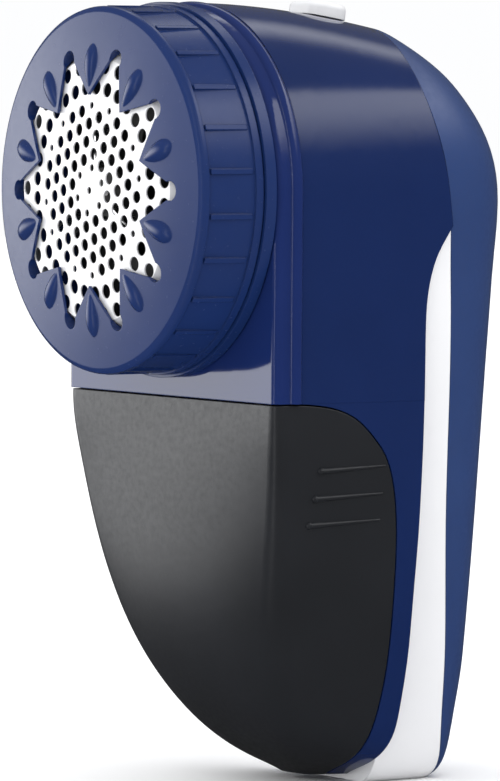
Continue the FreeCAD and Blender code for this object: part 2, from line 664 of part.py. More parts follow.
def petal_shape():
    """Teardrop along the X axis: a point at the origin, widest past the middle, round at the far end."""
    length, r = g("petal_len"), 0.5 * g("petal_w")
    curve = Part.BSplineCurve()
    stations = ((0.0, 0.12), (0.25, 0.62), (0.5, 0.94), (0.66, 1.0), (0.82, 0.86), (0.94, 0.52), (1.0, 0.1))
    curve.interpolate([V(length * u, r * v, 0) for u, v in stations])
    low = V(0, 0.12 * r, 0)
    high = V(length, 0.1 * r, 0)
    loop = [Part.LineSegment(V(0, 0, 0), low).toShape(), curve.toShape(),
            Part.LineSegment(high, V(length, 0, 0)).toShape(),
            Part.LineSegment(V(length, 0, 0), V(0, 0, 0)).toShape()]
    lean = FreeCAD.Rotation(V(0, 0, 1), g("petal_lean"))
    drop = Part.Face(Part.Wire(loop)).revolve(V(0, 0, 0), V(1, 0, 0), 360)
    drop = drop.common(box_shape(-1.0, length + 1.0, -4.0, -g("petal_sink"), -4.0, 4.0))
    drop.Placement = FreeCAD.Placement(V(0, 0, 0), lean)
    return Part.makeCompound([drop])


star = solid("star_opening", star_prism())
petals = []
ridges = []
lugs = []
for k in range(int(g("star_points"))):
    angle = 19.0 + 36.0 * k
    a = math.radians(angle)
    bump = solid(tag("petal"), petal_shape())
    turn = FreeCAD.Rotation(V(0, 1, 0), -angle)
    put(bump, "petal_r0 * %.8f" % math.cos(a), "petal_y", "petal_r0 * %.8f" % math.sin(a), turn)
    petals.append(bump)
for k in range(int(g("ridge_count"))):
    angle = (k + 0.5) * 360.0 / g("ridge_count")
    ridges.append(spoke("grip_ridge", angle, "cap_r - 1.2", "cap_r + 0.12", "grip_front + 0.4",
                        "grip_back - 0.5", "ridge_w"))
for k in range(int(g("lug_count"))):
    angle = 90.0 + 120.0 * k
    lugs.append(spoke("guard_lug", angle, "lug_r", "cap_bore + 0.6", "lug_y0", "lug_y1", "lug_w"))
cap_plus = fuse("cap_details", [domed] + petals + ridges + lugs)
finish("guard_cap", cut("cap_open", cap_plus, star))

# ---------------------------------------------------------------- foil and its frame

FRAME = [
    ("frame_front_y", "frame_bore"), ("frame_front_y", "frame_r"), ("frame_groove_y0", "frame_r"),
    ("frame_groove_y0", "frame_groove_r"), ("frame_groove_y1", "frame_groove_r"),
    ("frame_groove_y1", "frame_r"), ("flange_y0", "frame_r"), ("flange_y0", "flange_r"),
    ("flange_y1", "flange_r"), ("flange_y1", "spigot_r"), ("spigot_y", "spigot_r"),
    ("spigot_y", "frame_bore"),
]
frame = turned("foil_frame_ring", FRAME)
entries = []
for k in range(int(g("lug_count"))):
    entries.append(spoke("lug_entry", 115.0 + 120.0 * k, "frame_groove_r", "frame_r + 1", "frame_front_y - 1",
                         "frame_groove_y0 + 0.5", "lug_w + 1"))
finish("foil_frame", cut("frame_slots", frame, fuse("lug_entries", entries)))


def foil_shape():
    """Crowned disc with a raked skirt and a rim, perforated on a triangular lattice and on two rings."""
    t_foil = g("foil_t")
    y, r, crown = g("foil_y"), g("foil_flat_r"), g("foil_crown")
    sy, sr, rim = g("foil_skirt_y"), g("foil_skirt_r"), g("foil_rim_r")

    def outline(d):
        mid = (0.5 * r, y - crown * 0.75 + d)
        arc = Part.Arc(V(0, y - crown + d, 0), V(mid[0], mid[1], 0), V(r, y + d, 0)).toShape()
        return [arc, Part.LineSegment(V(r, y + d, 0), V(sr, sy + d, 0)).toShape(),
                Part.LineSegment(V(sr, sy + d, 0), V(rim, sy + d, 0)).toShape()]

    front = outline(0.0)
    back = outline(t_foil)
    loop = front + [Part.LineSegment(V(rim, sy, 0), V(rim, sy + t_foil, 0)).toShape()] + back[::-1]
    loop.append(Part.LineSegment(V(0, y - crown + t_foil, 0), V(0, y - crown, 0)).toShape())
    disc = Part.Face(Part.Wire(Part.__sortEdges__(loop))).revolve(V(0, 0, 0), V(0, 1, 0), 360)
    pitch, turn = g("hole_pitch"), math.radians(g("hole_turn"))
    holes = []

    def hole(radius, angle, d):
        holes.append(ycyl_shape(d / 2, -6, 8, radius * math.cos(angle), radius * math.sin(angle)))

    for i in range(-5, 6):
        for j in range(-5, 6):
            px = pitch * (i + 0.5 * j)
            pz = pitch * j * math.sqrt(3) / 2
            ring = max(abs(i), abs(j), abs(i + j))
            if ring > 5:
                continue
            rad = math.hypot(px, pz)
            ang = math.atan2(pz, px) + turn
            if ring == 0:
                hole(0, 0, g("hole_small_d"))
            elif ring == 1:
                hole(rad * 1.24, ang, g("hole_small_d"))
            elif rad < 15.4:
                hole(rad, ang, g("hole_d"))
            elif rad < 16.5:
                hole(rad, ang, g("hole_small_d") - 0.1)
    n = int(g("ring_holes"))
    for k in range(n):
        hole(g("ring_a_r"), 2 * math.pi * k / n, g("hole_outer_d"))
        hole(g("ring_b_r"), 2 * math.pi * (k + 0.5) / n, g("hole_outer_d"))
    return disc.cut(Part.makeCompound(holes))


finish_shape("foil", foil_shape())

# ---------------------------------------------------------------- rotor

shaft = ycyl("shaft", "shaft_r", "shaft_y0", "shaft_y1")
shaft_out = doc.addObject("Part::Compound", tag("shaft_holder"))
shaft_out.Links = [shaft]
finish("motor_shaft", shaft_out)

hub_disc = ycyl("hub_disc", "hub_r", "hub_y0", "hub_y1")
arms = []
slots = []
for k in range(3):
    angle = 90.0 + 120.0 * k
    arms.append(spoke("hub_arm", angle, "2", "blade_out - 1", "blade_back_y - 1.6", "hub_y1 - 1.2", "3.2"))
    slots.append(spoke("hub_slot", angle, "blade_in - 0.1", "blade_out + 2", "0 - 3", "blade_back_y + 0.05",
                       "blade_t + 0.06"))
hub = cut("hub_slotted", fuse("hub_arms", [hub_disc] + arms), fuse("hub_slots", slots))
spring_pocket = cut("spring_pocket", ycyl("pocket_outer", "spring_r + 0.8", "hub_y1 - 1.6", "hub_y1 + 1"),
                    ycyl("pocket_core", "1.6", "hub_y1 - 2", "hub_y1 + 2"))
hub = cut("hub_pocketed", hub, spring_pocket)
finish("blade_hub", cut("hub_bored", hub, ycyl("hub_bore", "shaft_r", "0", "9")))

blades = []
for k in range(3):
    blades.append(spoke("blade", 90.0 + 120.0 * k, "blade_in", "blade_out", "blade_tip_y", "blade_back_y",
                        "blade_t"))
blade_set = doc.addObject("Part::Compound", tag("blade_holder"))
blade_set.Links = blades
finish("cutter_blades", blade_set)


def tube_along(points, radius):
    """Round bar along straight runs joined by tangent arcs."""
    pts = [V(*p) for p in points]
    edges = []
    start = pts[0]
    for a, b, c in zip(pts, pts[1:], pts[2:]):
        u, w = (a - b).normalize(), (c - b).normalize()
        back = 0.45 * min((a - b).Length, (c - b).Length)
        half = 0.5 * math.acos(max(-1.0, min(1.0, u.dot(w))))
        mid = (u + w).normalize()
        bend = back * math.tan(half)
        centre = b + mid * (bend / math.sin(half))
        p, q = b + u * back, b + w * back
        edges.append(Part.LineSegment(start, p).toShape())
        edges.append(Part.Arc(p, centre - mid * bend, q).toShape())
        start = q
    edges.append(Part.LineSegment(start, pts[-1]).toShape())
    ring = Part.Wire([Part.makeCircle(radius, pts[0], pts[1] - pts[0])])
    return Part.Wire(edges).makePipeShell([ring], True, True)


def coil(r, wire_r, pitch, turns, base, axis):
    """Open coil spring of round wire, standing on its base point along the given axis."""
    steps = int(turns * 9)
    turn = FreeCAD.Rotation(V(0, 0, 1), axis)
    points = []
    for i in range(steps + 1):
        a = 2 * math.pi * i / 9
        points.append(tuple(base + turn.multVec(V(r * math.cos(a), r * math.sin(a), pitch * i / 9))))
    return tube_along(points, wire_r)


finish_shape("hub_spring", coil(g("spring_r"), g("spring_wire") / 2, 0.9, 3.6,
                                V(0, g("hub_y1") - 1.3, 0), V(0, 1, 0)))

fan_disc = ycyl("fan_disc", "fan_r", "fan_disc_y", "fan_disc_y + fan_disc_t")
fan_hub = ycyl("fan_hub", "fan_hub_r", "fan_disc_y", "fan_disc_y + fan_disc_t + fan_vane_h")
vanes = []
for k in range(int(g("fan_vanes"))):
    vanes.append(spoke("fan_vane", 12.0 + 360.0 * k / g("fan_vanes"), "fan_hub_r - 0.5", "fan_r",
                       "fan_disc_y + fan_disc_t / 2", "fan_disc_y + fan_disc_t + fan_vane_h", "fan_vane_t"))
fan = fuse("fan_solid", [fan_disc, fan_hub] + vanes)
vents = []
for k in range(int(g("fan_vanes"))):
    a = math.radians(32.0 + 360.0 * k / g("fan_vanes"))
    vents.append(ycyl("fan_vent", "2.4", "fan_disc_y - 1", "fan_disc_y + fan_disc_t + 1",
                      "10 * %.8f" % math.cos(a), "10 * %.8f" % math.sin(a)))
fan = cut("fan_vented", fan, fuse("fan_vents", vents))
finish("fan", cut("fan_bored", fan, ycyl("fan_bore", "shaft_r", "0", "20")))

# ---------------------------------------------------------------- motor

can_outer = ycyl("can_outer", "motor_r", "motor_y0", "motor_y1")
can_boss = ycyl("can_boss", "boss_r", "boss_y0", "motor_y0 + 0.5")
can_inner = ycyl("can_inner", "motor_r - motor_wall", "motor_y0 + motor_wall", "motor_y1 + 1")
can_bore = ycyl("can_bore", "bush_r", "boss_y0 - 1", "motor_y0 + 2")
can = cut("can_shell", fuse("can_solid", [can_outer, can_boss]), fuse("can_space", [can_inner, can_bore]))
taps = []
for side in (-1, 1):
    taps.append(ycyl("can_tap", "0.95", "motor_y0 - 1", "motor_y0 + 2", "%d * mount_screw_x" % side))
finish("motor_can", cut("can_tapped", can, fuse("can_taps", taps)))

bell = fuse("bell_solid", [ycyl("bell_plate", "motor_r", "motor_y1", "bell_y1"),
                           ycyl("bell_plug", "motor_r - motor_wall - 0.05", "motor_y1 - 1.6", "motor_y1 + 0.5"),
                           ycyl("bell_boss", "3.4", "bell_y1 - 0.5", "bell_y1 + 1.6")])
bell = cut("bell_bored", bell, ycyl("bell_bore", "shaft_r + run_gap", "motor_y1 - 4", "bell_y1 + 4"))
tabs = [box("tab", "%d - 1" % x, "%d + 1" % x, "bell_y1 - 0.4", "bell_y1 + 3.2", "3.6", "4.0")
        for x in (-7, 7)]
bell_slots = [box("tab_slot", "%d - 1.02" % x, "%d + 1.02" % x, "bell_y1 - 0.42", "bell_y1 + 4", "3.58",
                  "4.02") for x in (-7, 7)]
finish("motor_bell", cut("bell_cut", bell, fuse("bell_slots", bell_slots)))
tab_set = doc.addObject("Part::Compound", tag("tab_holder"))
tab_set.Links = tabs
finish("motor_tabs", tab_set)
finish("motor_bush", cut("bush_bored", ycyl("bush_outer", "bush_r", "boss_y0 - 0.3", "motor_y0 + 1.6"),
                         ycyl("bush_bore", "shaft_r + run_gap", "boss_y0 - 2", "motor_y0 + 4")))

magnet_ring = cut("magnet_ring", ycyl("magnet_outer", "motor_r - motor_wall - 0.05", "motor_y0 + 2.5",
                                      "motor_y1 - 2.5"),
                  ycyl("magnet_inner", "armature_r + 0.5", "motor_y0", "motor_y1"))
magnet_gap = box("magnet_gap", "0 - 2.2", "2.2", "motor_y0", "motor_y1", "0 - 15", "15")
finish("motor_magnets", cut("magnet_pair", magnet_ring, magnet_gap))

core_disc = ycyl("armature_disc", "armature_r", "armature_y0", "armature_y1")
winding_slots = [spoke("winding_slot", 30.0 + 120.0 * k, "3.4", "armature_r + 1", "armature_y0 - 1",
                       "armature_y1 + 1", "2.4") for k in range(3)]
commutator = ycyl("commutator", "2.4", "armature_y1 - 0.5", "armature_y1 + 3.6")
armature = fuse("armature_solid", [cut("armature_slotted", core_disc, fuse("winding_slots", winding_slots)),
                                   commutator])
finish("motor_armature", cut("armature_bored", armature, ycyl("armature_bore", "shaft_r", "20", "50")))

mount_plate = box("mount_plate", "0 - mount_half", "mount_half", "motor_y0 - mount_t", "motor_y0 - 0.02",
                  "0 - 13", "13")
mount_holes = [ycyl("mount_centre", "boss_r + 0.05", "10", "30")]
for side in (-1, 1):
    mount_holes.append(ycyl("mount_hole", "1.15", "10", "30", "%d * mount_screw_x" % side))
feet = []
for side in (-1, 1):
    inner = "%d * mount_half" % side
    x0, x1 = ("0 - mount_half", "0 - mount_half + 2") if side < 0 else ("mount_half - 2", "mount_half")
    feet.append(box("mount_foot", x0, x1, "motor_y0 - 1", "chassis_y0 - 0.05", "0 - 9", "9"))
mount_solid = fuse("mount_solid", [mount_plate] + feet)
can_room = ycyl("can_room", "motor_r + 0.1", "motor_y0 - 0.02", "60")
finish("motor_mount", cut("mount_cut", mount_solid, fuse("mount_voids", mount_holes + [can_room])))

motor_screws = []
for side in (-1, 1):
    shank = ycyl("motor_screw_shank", "0.9", "motor_y0 - mount_t - 0.5", "motor_y0 + 0.78",
                 "%d * mount_screw_x" % side)
    head = ycyl("motor_screw_head", "1.6", "motor_y0 - mount_t - 1.2", "motor_y0 - mount_t",
                "%d * mount_screw_x" % side)
    groove = box("motor_screw_slot", "%d * mount_screw_x - 2" % side, "%d * mount_screw_x + 2" % side,
                 "motor_y0 - mount_t - 2", "motor_y0 - mount_t - 0.8", "0 - 0.25", "0.25")
    motor_screws.append(cut("motor_screw", fuse("motor_screw_solid", [shank, head]), groove))
screw_pair = doc.addObject("Part::Compound", tag("motor_screw_holder"))
screw_pair.Links = motor_screws
finish("motor_screws", screw_pair)

# ---------------------------------------------------------------- chamber and duct

chamber_ring = cut("chamber_ring", ycyl("chamber_outer", "chamber_r", "chamber_y0", "chamber_y1"),
                   ycyl("chamber_inner", "chamber_in", "chamber_y0 - 1", "chamber_back"))
window = box("chamber_window", "0 - duct_half + duct_wall", "duct_half - duct_wall", "10", "40",
             "window_bottom", "window_top")
finish("blade_chamber", cut("chamber_cut", chamber_ring,
                            fuse("chamber_voids", [window, ycyl("chamber_bore", "boss_r + 0.3", "10", "40")])))

duct_block = box("duct_block", "0 - duct_half", "duct_half", "chamber_y1 + 0.05", "duct_y1", "duct_bottom",
                 "duct_top")
duct_room = box("duct_room", "0 - duct_half + duct_wall", "duct_half - duct_wall", "chamber_y1 - 1",
                "duct_y1 - duct_wall", "duct_bottom - 2", "duct_top - duct_wall")
finish("lint_duct", cut("duct_cut", duct_block, duct_room))

# ---------------------------------------------------------------- switch

tilt = FreeCAD.Rotation(V(1, 0, 0), -g("slide_tilt"))


def pill(length, width, height, z0):
    """Oval block lying in the XY plane, long in Y, with its corners fully rounded."""
    r = min(length, width) / 2 - 0.01
    b = Part.makeBox(width, length, height, V(-width / 2, -length / 2, z0))
    upright = [e for e in b.Edges if abs(e.Vertexes[0].Z - e.Vertexes[1].Z) > 0.5 * height]
    return b.makeFillet(r * 0.86, upright)


button = pill(g("button_len"), g("button_w"), g("button_h") + g("button_skirt"), 0.35 - g("button_skirt"))
top_edges = [e for e in button.Edges if e.BoundBox.ZMin > 0.35 + g("button_h") - 0.01]
button = button.makeFillet(1.15, top_edges)
stem = box_shape(-g("stem_w") / 2, g("stem_w") / 2, -g("stem_len") / 2, g("stem_len") / 2, -7.2, 0.9)
button_seat = FreeCAD.Placement(V(0, g("button_y"), g("button_z") - 0.55), tilt)
button.Placement = button_seat
stem.Placement = button_seat
button = button.cut(upper_solid(-0.25)).fuse(stem)
finish_shape("switch_button", button.removeSplitter())

case = Part.makeBox(g("case_w"), g("case_len"), 7.0, V(-g("case_w") / 2, -g("case_len") / 2 - 2.0, -13.0))
well = box_shape(-g("stem_w") / 2 - 0.3, g("stem_w") / 2 + 0.3, -g("slot_len") / 2 - 1.4,
                 g("slot_len") / 2 - 1.4, -8.0, 0.0)
case = case.cut(well)
pegs = [box_shape(-0.4, 0.4, y - 0.6, y + 0.6, -15.4, -12.5) for y in (-6.5, -2.0, 2.5)]
case = case.fuse(pegs)
case.Placement = FreeCAD.Placement(V(0, g("button_y"), g("button_z") - 0.55), tilt)
finish_shape("switch_case", case.removeSplitter())

# ---------------------------------------------------------------- batteries and contacts

top_pad = "tray_z1 - tray_t - 0.44"
low_pad = "tray_z0 + tray_t + 0.44"
x_left, x_right = "0 - cell_x", "cell_x"
finish("battery_left", fuse("cell_left", [
    zcyl("cell_body_l", "cell_r", "%s - nub_h - cell_len" % top_pad, "%s - nub_h" % top_pad, x_left,
         "cell_y"),
    zcyl("cell_nub_l", "nub_r", "%s - nub_h - 0.2" % top_pad, top_pad, x_left, "cell_y")]))
finish("battery_right", fuse("cell_right", [
    zcyl("cell_body_r", "cell_r", "%s + nub_h" % low_pad, "%s + nub_h + cell_len" % low_pad, x_right,
         "cell_y"),
    zcyl("cell_nub_r", "nub_r", low_pad, "%s + nub_h + 0.2" % low_pad, x_right, "cell_y")]))

tray_plate = box("tray_plate", "0 - tray_half", "tray_half", "tray_y0", "tray_y0 + tray_t", "tray_z0",
                 "tray_z1")
tray_low = box("tray_low", "0 - tray_half + 1.5", "tray_half - 1.5", "tray_y0", "cell_y + 4.6", "tray_z0",
               "tray_z0 + tray_t")
tray_high = box("tray_high", "0 - tray_half", "tray_half", "tray_y0", "cell_y + 5.4", "tray_z1 - tray_t",
                "tray_z1")
tray_rib = box("tray_rib", "0 - 0.4", "0.4", "tray_y0", "cell_y - 2.4", "tray_z0 + tray_t + 0.6", "tray_z1")
finish("battery_tray", fuse("tray_solid", [tray_plate, tray_low, tray_high, tray_rib]))

bridge = box("bridge_plate", "0 - 13", "13", "cell_y - 5", "cell_y + 3.4", "tray_z0 + tray_t + 0.02",
             "tray_z0 + tray_t + 0.42")
bridge_out = doc.addObject("Part::Compound", tag("bridge_holder"))
bridge_out.Links = [bridge]
finish("contact_bridge", bridge_out)
plates = []
for side in (-1, 1):
    x0, x1 = ("0 - 13.5", "0 - 2") if side < 0 else ("2", "13.5")
    plates.append(box("contact_pad", x0, x1, "cell_y - 5", "cell_y + 3.6", "tray_z1 - tray_t - 0.42",
                      "tray_z1 - tray_t - 0.02"))
plate_set = doc.addObject("Part::Compound", tag("pad_holder"))
plate_set.Links = plates
finish("contact_plates", plate_set)

pad_top = cell_sum(top_pad)
pad_low = cell_sum(low_pad)
spring_gap = pad_top - pad_low - g("cell_len") - g("nub_h")
spring_pitch = (spring_gap - 0.9) / 3.5
low_seat = V(-g("cell_x"), g("cell_y"), pad_low + 0.42)
high_seat = V(g("cell_x"), g("cell_y"), pad_top - spring_gap + 0.45)
springs = [coil(3.4, 0.35, spring_pitch, 3.5, seat, V(0, 0, 1)) for seat in (low_seat, high_seat)]
finish_shape("contact_springs", Part.makeCompound(springs))

# ---------------------------------------------------------------- chassis, screws and wires

chassis_plate = box("chassis_plate", "0 - chassis_half", "chassis_half", "chassis_y0", "chassis_y1",
                    "chassis_z0", "chassis_z1")
bosses = []
boss_holes = [ycyl("bell_hole", "4.2", "40", "70"), box("tab_window", "0 - 9", "9", "40", "70", "2.6", "5.2")]
for x, z in screw_spots:
    bosses.append(ycyl("chassis_boss", "3", "chassis_y0 + 0.5", "chassis_y1 + 5.9", "%g" % x, "%g" % z))
    boss_holes.append(ycyl("chassis_hole", "screw_r + 0.02", "40", "70", "%g" % x, "%g" % z))
finish("chassis", cut("chassis_cut", fuse("chassis_solid", [chassis_plate] + bosses),
                      fuse("chassis_holes", boss_holes)))

screws = []
for x, z in screw_spots:
    shank = ycyl("screw_shank", "screw_r", "screw_seat_y - screw_len", "screw_seat_y + 0.5", "%g" % x,
                 "%g" % z)
    head = ycyl("screw_head", "screw_head_r", "screw_seat_y + 0.02", "screw_seat_y + screw_head_h", "%g" % x,
                "%g" % z)
    cross = fuse("screw_cross", [box("cross_a", "%g - 1.5" % x, "%g + 1.5" % x, "screw_seat_y + 0.9", "90",
                                     "%g - 0.3" % z, "%g + 0.3" % z),
                                 box("cross_b", "%g - 0.3" % x, "%g + 0.3" % x, "screw_seat_y + 0.9", "90",
                                     "%g - 1.5" % z, "%g + 1.5" % z)])
    screws.append(cut("screw", fuse("screw_solid", [shank, head]), cross))
screw_set = doc.addObject("Part::Compound", tag("screw_holder"))
screw_set.Links = screws
finish("case_screws", screw_set)


finish_shape("wire_positive", tube_along([(11.0, 59.0, -41.7), (12.0, 58.4, -34.0), (12.6, 57.6, -20.0),
                                          (9.5, 57.8, -6.0), (7.8, 56.4, 4.6)], g("wire_r")))
finish_shape("wire_negative", tube_along([(-11.0, 59.0, -41.7), (-12.2, 58.6, -30.0), (-12.6, 58.4, -14.0),
                                          (-11.0, 58.8, 2.0), (-7.0, 58.4, 12.0), (-3.0, 55.6, 17.6)],
                                         g("wire_r")))

# ---------------------------------------------------------------- check and write

doc.recompute()
os.makedirs("parts", exist_ok=True)
problems = []
for o in doc.Objects:
    if "Invalid" in o.State or "Error" in o.State:
        problems.append("%s %s" % (o.Label, o.State))
for node, o in finished.items():
    if o.Shape.isNull() or not o.Shape.isValid():
        problems.append("%s has a bad shape" % node)
    else:
        print(node, len(o.Shape.Solids), round(o.Shape.Volume, 1))
if problems:
    raise RuntimeError("; ".join(problems))
for node, o in finished.items():
    o.Shape.exportStep("parts/%s.step" % node)
print(len(finished), "pieces written")
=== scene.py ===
import math

import bpy
from mathutils import Matrix, Vector

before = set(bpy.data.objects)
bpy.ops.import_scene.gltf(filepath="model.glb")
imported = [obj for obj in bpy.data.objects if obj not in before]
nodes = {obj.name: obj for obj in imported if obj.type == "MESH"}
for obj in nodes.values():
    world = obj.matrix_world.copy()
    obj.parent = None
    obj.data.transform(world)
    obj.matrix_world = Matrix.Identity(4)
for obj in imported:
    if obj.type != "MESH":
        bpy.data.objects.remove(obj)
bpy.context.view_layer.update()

# Lengths are in metres, noise scales in cells per metre, and panel sizes in radians.
RAMP_START, RAMP_END = 0.3, 0.7     # the stretch of a noise value that colours and gloss run over
DRIFT_SCALE = 45.0                  # slow colour drift of plastic
GLOSS_SCALE = 900.0                 # patches of uneven gloss on plastic
STAIN_SCALE = 160.0                 # slow colour drift of metal
MARK_SCALE = 2500.0                 # marks of rolling or turning on metal
GRAIN_STRENGTH = 0.6
MARK_STRENGTH = 0.5
PLASTIC_SWING = (0.86, 1.16)        # least and most roughness, as shares of a finish's own
METAL_SWING = (0.75, 1.3)
PLASTIC_EDGE = 0.00025              # radius of the softened edges
METAL_EDGE = 0.0001
EDGE_SAMPLES = 6

FLOOR_SIZE = 6.0
FLOOR_CELLS = 24
FLOOR_DROP = 0.0001                 # keeps the floor just clear of the resting face
FLOOR_NOISE = 6.0

# What reflections see is a dark studio with these soft panels. middle is the direction of a panel's
# middle, across the direction along its width, and the three soft values are how wide its edges fade.
PANELS = [
    # high on the camera's right: sharp upper edge, long fade downwards
    dict(middle=(0.49, 0.57, 0.63), across=(0.8, -0.6, 0.0), half_width=0.55, half_height=0.16,
         side_soft=0.2, low_soft=0.22, high_soft=0.03, strength=2.6),
    # above and behind the object
    dict(middle=(-0.42, 0.57, 0.72), across=(0.8, 0.6, 0.0), half_width=0.5, half_height=0.09,
         side_soft=0.2, low_soft=0.10, high_soft=0.10, strength=1.5),
    # on the camera's left, level with the object
    dict(middle=(-0.88, -0.47, 0.02), across=(0.5, -0.85, 0.0), half_width=0.34, half_height=0.20,
         side_soft=0.16, low_soft=0.18, high_soft=0.2, strength=3.6),
    # narrow upright strip straight in front of the head, for the rounded upright edges
    dict(middle=(0.12, -0.99, 0.0), across=(1.0, 0.0, 0.0), half_width=0.05, half_height=0.55,
         side_soft=0.03, low_soft=0.2, high_soft=0.2, strength=3.0),
    # faint strip for the right rim of the domed cap
    dict(middle=(-0.55, -0.83, 0.05), across=(0.83, -0.55, 0.0), half_width=0.05, half_height=0.16,
         side_soft=0.06, low_soft=0.1, high_soft=0.1, strength=1.6),
]
# Light between the panels and light on matt surfaces: the heights (sine of the elevation) that it
# rises over, how much it gains there and what it starts from.
DARK_STUDIO = dict(start=-0.5, end=0.9, gain=0.16, base=0.05)
WHITE_STUDIO = dict(start=-0.6, end=0.8, gain=0.62, base=0.74)
STUDIO_COLOUR = (0.985, 0.99, 1.0, 1.0)

CAMERA_AZIMUTH = math.radians(55.18)
CAMERA_ELEVATION = math.radians(3.11)
CAMERA_ROLL = math.radians(0.41)
CAMERA_DISTANCE = 1.150
CAMERA_TARGET = Vector((0.018954, -0.037091, 0.076245))
CAMERA_LENS = 283.4                 # millimetres, on a sensor 36 wide
CAMERA_SENSOR = 36.0
CLIP_START, CLIP_END = 0.05, 50.0


# ------------------------------------------------------------------ node helpers

def new_material(name):
    mat = bpy.data.materials.new(name)
    mat.use_nodes = True
    tree = mat.node_tree
    return mat, tree, tree.nodes["Principled BSDF"]


def noise(tree, scale, detail, rough):
    """Noise in the object's own coordinates."""
    coord = tree.nodes.new("ShaderNodeTexCoord")
    tex = tree.nodes.new("ShaderNodeTexNoise")
    tex.inputs["Scale"].default_value = scale
    tex.inputs["Detail"].default_value = detail
    tex.inputs["Roughness"].default_value = rough
    tree.links.new(coord.outputs["Object"], tex.inputs["Vector"])
    return tex.outputs["Fac"]


def uneven(tree, value, rough, swing):
    """Roughness that a noise value moves between two shares of itself."""
    least, most = swing
    node = tree.nodes.new("ShaderNodeMapRange")
    node.inputs["From Min"].default_value = RAMP_START
    node.inputs["From Max"].default_value = RAMP_END
    node.inputs["To Min"].default_value = rough * least
    node.inputs["To Max"].default_value = rough * most
    tree.links.new(value, node.inputs["Value"])
    return node.outputs["Result"]


def two_tone(tree, value, dark, light):
    """Colour that runs from dark to light with a noise value."""
    ramp = tree.nodes.new("ShaderNodeValToRGB")
    ends = ramp.color_ramp.elements
    ends[0].position = RAMP_START
    ends[1].position = RAMP_END
    ends[0].color = (*dark, 1.0)
    ends[1].color = (*light, 1.0)
    tree.links.new(value, ramp.inputs["Fac"])
    return ramp.outputs["Color"]


def soft_edges(tree, radius):
    """Normal that runs smoothly round the edges of a moulded or formed piece."""
    bevel = tree.nodes.new("ShaderNodeBevel")
    bevel.samples = EDGE_SAMPLES
    bevel.inputs["Radius"].default_value = radius
    return bevel.outputs["Normal"]


def relief(tree, bsdf, value, height, strength, under):
    """Bump of the given height on top of the normal under."""
    bump = tree.nodes.new("ShaderNodeBump")
    bump.inputs["Distance"].default_value = height
    bump.inputs["Strength"].default_value = strength
    tree.links.new(value, bump.inputs["Height"])
    tree.links.new(under, bump.inputs["Normal"])
    tree.links.new(bump.outputs["Normal"], bsdf.inputs["Normal"])


# ------------------------------------------------------------------ materials

def moulded(name, dark, light, rough, grain=0.0, grain_scale=4000.0, specular=0.5):
    """Moulded plastic: faint colour drift, uneven gloss, fine surface grain and rounded edges."""
    mat, tree, bsdf = new_material(name)
    drift = noise(tree, DRIFT_SCALE, detail=3.0, rough=0.5)
    patches = noise(tree, GLOSS_SCALE, detail=4.0, rough=0.6)
    tree.links.new(two_tone(tree, drift, dark, light), bsdf.inputs["Base Color"])
    tree.links.new(uneven(tree, patches, rough, PLASTIC_SWING), bsdf.inputs["Roughness"])
    bsdf.inputs["Specular IOR Level"].default_value = specular
    rounded = soft_edges(tree, PLASTIC_EDGE)
    if grain:
        grains = noise(tree, grain_scale, detail=2.0, rough=0.6)
        relief(tree, bsdf, grains, grain, GRAIN_STRENGTH, rounded)
    else:
        tree.links.new(rounded, bsdf.inputs["Normal"])
    return mat


def metal(name, dark, light, rough, height=0.00001, shine=1.0):
    """Bare metal with fine marks from rolling or turning."""
    mat, tree, bsdf = new_material(name)
    bsdf.inputs["Metallic"].default_value = shine
    marks = noise(tree, MARK_SCALE, detail=5.0, rough=0.65)
    stain = noise(tree, STAIN_SCALE, detail=4.0, rough=0.6)
    tree.links.new(two_tone(tree, stain, dark, light), bsdf.inputs["Base Color"])
    tree.links.new(uneven(tree, marks, rough, METAL_SWING), bsdf.inputs["Roughness"])
    relief(tree, bsdf, marks, height, MARK_STRENGTH, soft_edges(tree, METAL_EDGE))
    return mat


finish = {
    "navy_gloss": moulded("cap_navy", (0.0085, 0.0240, 0.104), (0.0095, 0.0265, 0.113), 0.24, specular=0.38),
    "navy_satin": moulded("shell_navy", (0.0052, 0.0158, 0.074), (0.0060, 0.0176, 0.082), 0.12),
    "blue_satin": moulded("back_blue", (0.0150, 0.0410, 0.147), (0.0172, 0.0460, 0.160), 0.36,
                          grain=0.000006, grain_scale=5000.0),
    "white_plastic": moulded("white_plastic", (0.80, 0.80, 0.815), (0.82, 0.82, 0.835), 0.32),
    "smoke_plastic": moulded("smoke_plastic", (0.0125, 0.0138, 0.0170), (0.0150, 0.0165, 0.0205), 0.36,
                             grain=0.00001, grain_scale=3500.0),
    "grey_plastic": moulded("grey_plastic", (0.20, 0.20, 0.21), (0.24, 0.24, 0.25), 0.45, grain=0.00001),
    "black_plastic": moulded("black_plastic", (0.012, 0.012, 0.013), (0.018, 0.018, 0.019), 0.4,
                             grain=0.00001),
    "foil_steel": metal("foil_steel", (0.84, 0.84, 0.85), (0.90, 0.90, 0.91), 0.45, shine=0.25),
    "steel": metal("turned_steel", (0.55, 0.55, 0.56), (0.66, 0.66, 0.67), 0.25),
    "zinc_steel": metal("zinc_steel", (0.52, 0.53, 0.55), (0.66, 0.66, 0.64), 0.32),
    "ferrite": metal("ferrite", (0.05, 0.05, 0.052), (0.09, 0.09, 0.092), 0.5, height=0.00003),
    "brass": metal("brass", (0.60, 0.42, 0.18), (0.74, 0.54, 0.26), 0.26),
    "cell_jacket": moulded("cell_jacket", (0.03, 0.10, 0.05), (0.04, 0.13, 0.065), 0.25),
    "wire_red": moulded("wire_red", (0.42, 0.02, 0.015), (0.5, 0.03, 0.02), 0.4),
    "wire_black": moulded("wire_black", (0.012, 0.012, 0.012), (0.02, 0.02, 0.02), 0.4),
}
